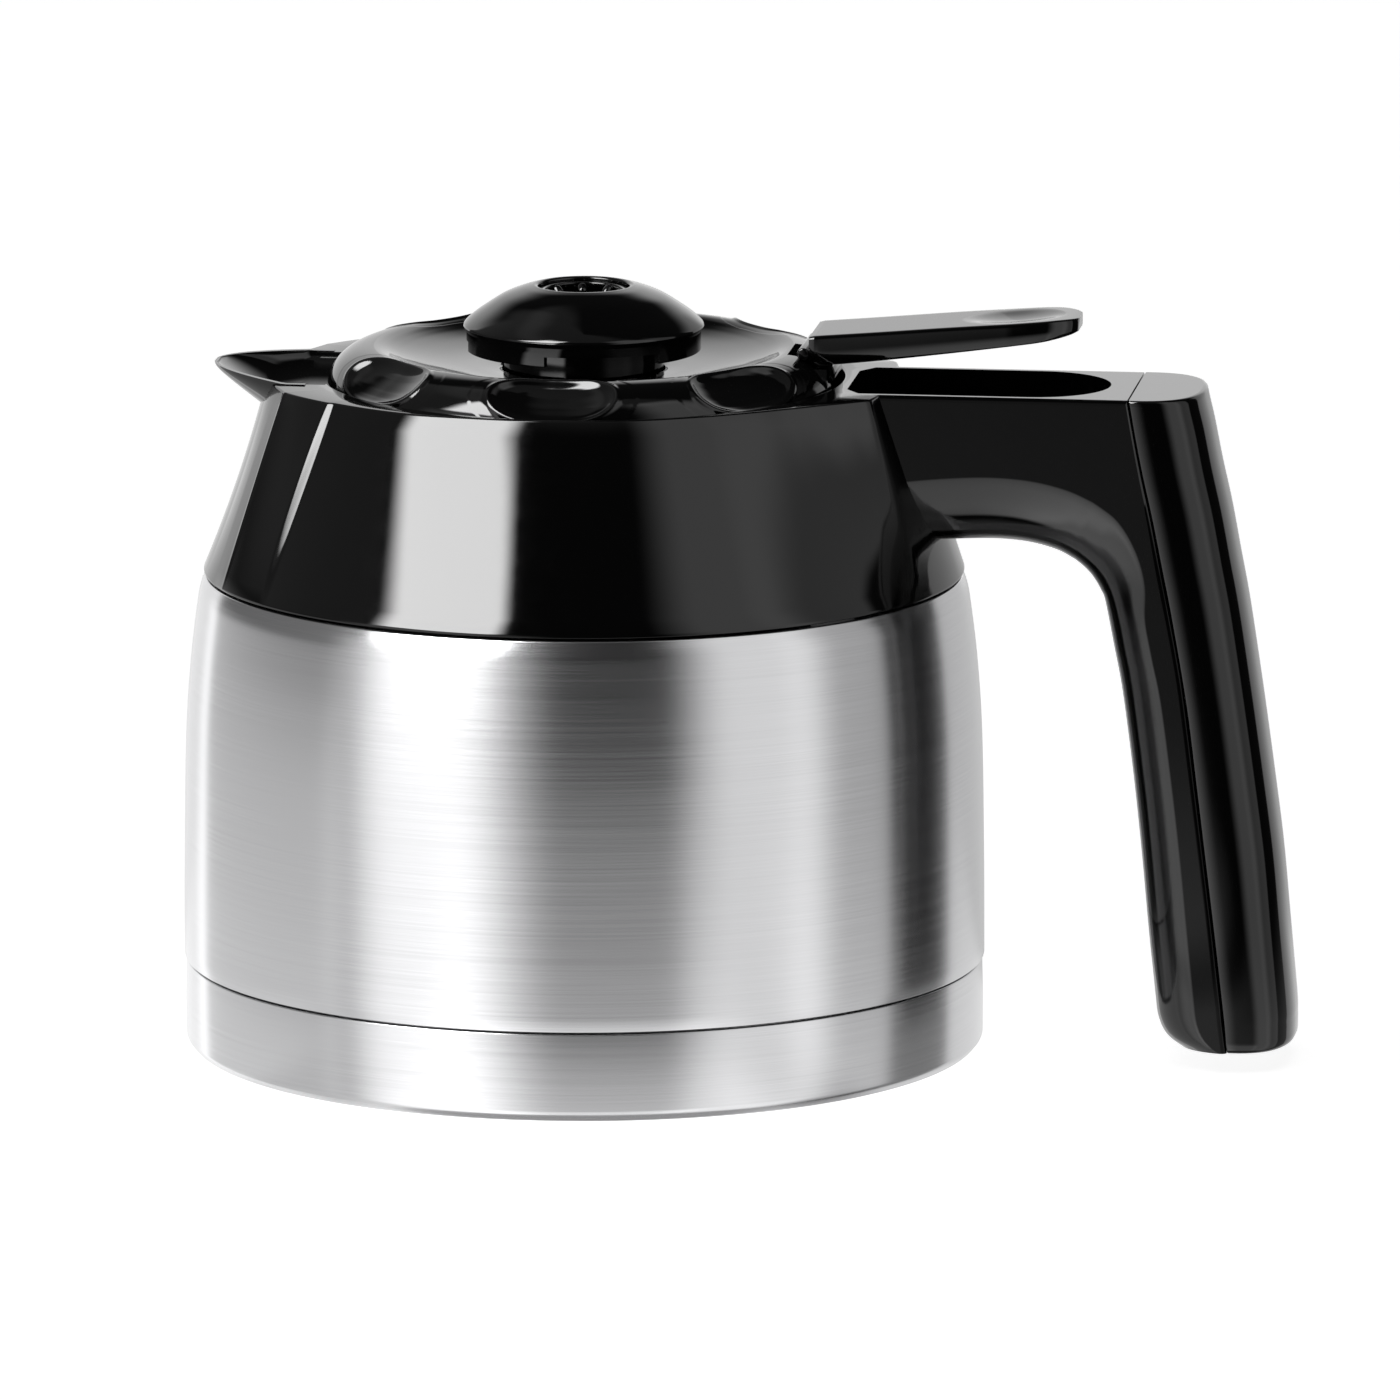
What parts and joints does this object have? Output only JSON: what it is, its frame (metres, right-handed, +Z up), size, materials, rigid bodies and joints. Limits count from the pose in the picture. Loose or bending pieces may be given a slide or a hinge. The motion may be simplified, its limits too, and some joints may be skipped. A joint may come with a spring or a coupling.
{
  "type": "thermal coffee jug",
  "caption": "Steel vacuum coffee jug with black conical collar, beak spout, side handle, screw lid with drip-through dome and a thumb lever that opens the pouring valve.",
  "frame": {"origin": "centre of the underside of the base pad, on the axis of the steel body, at table level", "axes": "+Z up along the body's axis, +X towards the handle, -X towards the spout"},
  "size_m": [0.2042, 0.1464, 0.1403],
  "materials": {
    "brushed_steel": "fine brushing round the body",
    "bright_steel": "smooth",
    "black_gloss": "high gloss",
    "black_matt": "matt",
    "silicone": "matt translucent grey",
    "pad_rubber": "matt"
  },
  "bodies": {
    "jug": {"base_cup": "brushed_steel", "base_pad": "pad_rubber", "vacuum_base": "bright_steel", "getter_cap": "bright_steel", "outer_shell": "brushed_steel", "outer_neck": "brushed_steel", "inner_base": "bright_steel", "inner_wall": "bright_steel", "inner_neck": "bright_steel", "neck_gasket": "silicone", "collar": "black_gloss", "collar_clamp": "black_matt", "handle_cover": "black_gloss", "handle_screw": "bright_steel"},
    "seal": {"lid_seal": "silicone"},
    "lid": {"lid_cap": "black_gloss", "stopper_body": "black_matt", "guide_plate": "black_matt", "lid_screw_1": "bright_steel", "lid_screw_2": "bright_steel", "lid_screw_3": "bright_steel", "lid_screw_4": "bright_steel", "lever_pin": "bright_steel", "valve_spring": "bright_steel"},
    "thumb_lever": {"lever": "black_gloss"},
    "valve": {"valve_cap": "black_gloss", "drip_grate": "black_gloss", "valve_stem": "black_matt", "valve_plate": "black_matt", "valve_seal": "silicone"}
  },
  "joints": [
    {"name": "lid_lift", "type": "slide", "parent": "jug", "child": "seal", "axis": [0, 0, 1], "range_m": [0, 0.06]},
    {"name": "lid_turn", "type": "hinge", "parent": "seal", "child": "lid", "pos_m": [0, 0, 0.11], "axis": [0, 0, 1], "range_deg": [0, 75]},
    {"name": "lever_press", "type": "hinge", "parent": "lid", "child": "thumb_lever", "pos_m": [0.044, 0, 0.1254], "axis": [0, 1, 0], "range_deg": [0, 12], "stiffness_Nm_per_rad": 0.3, "springref_deg": -14.32},
    {"name": "valve_rise", "type": "slide", "parent": "lid", "child": "valve", "axis": [0, 0, 1], "range_m": [0, 0.0036], "deforming": ["valve_spring"]}
  ],
  "couplings": [
    {"joint": "valve_rise", "follows": "lever_press", "m_per_rad": 0.0171}
  ]
}
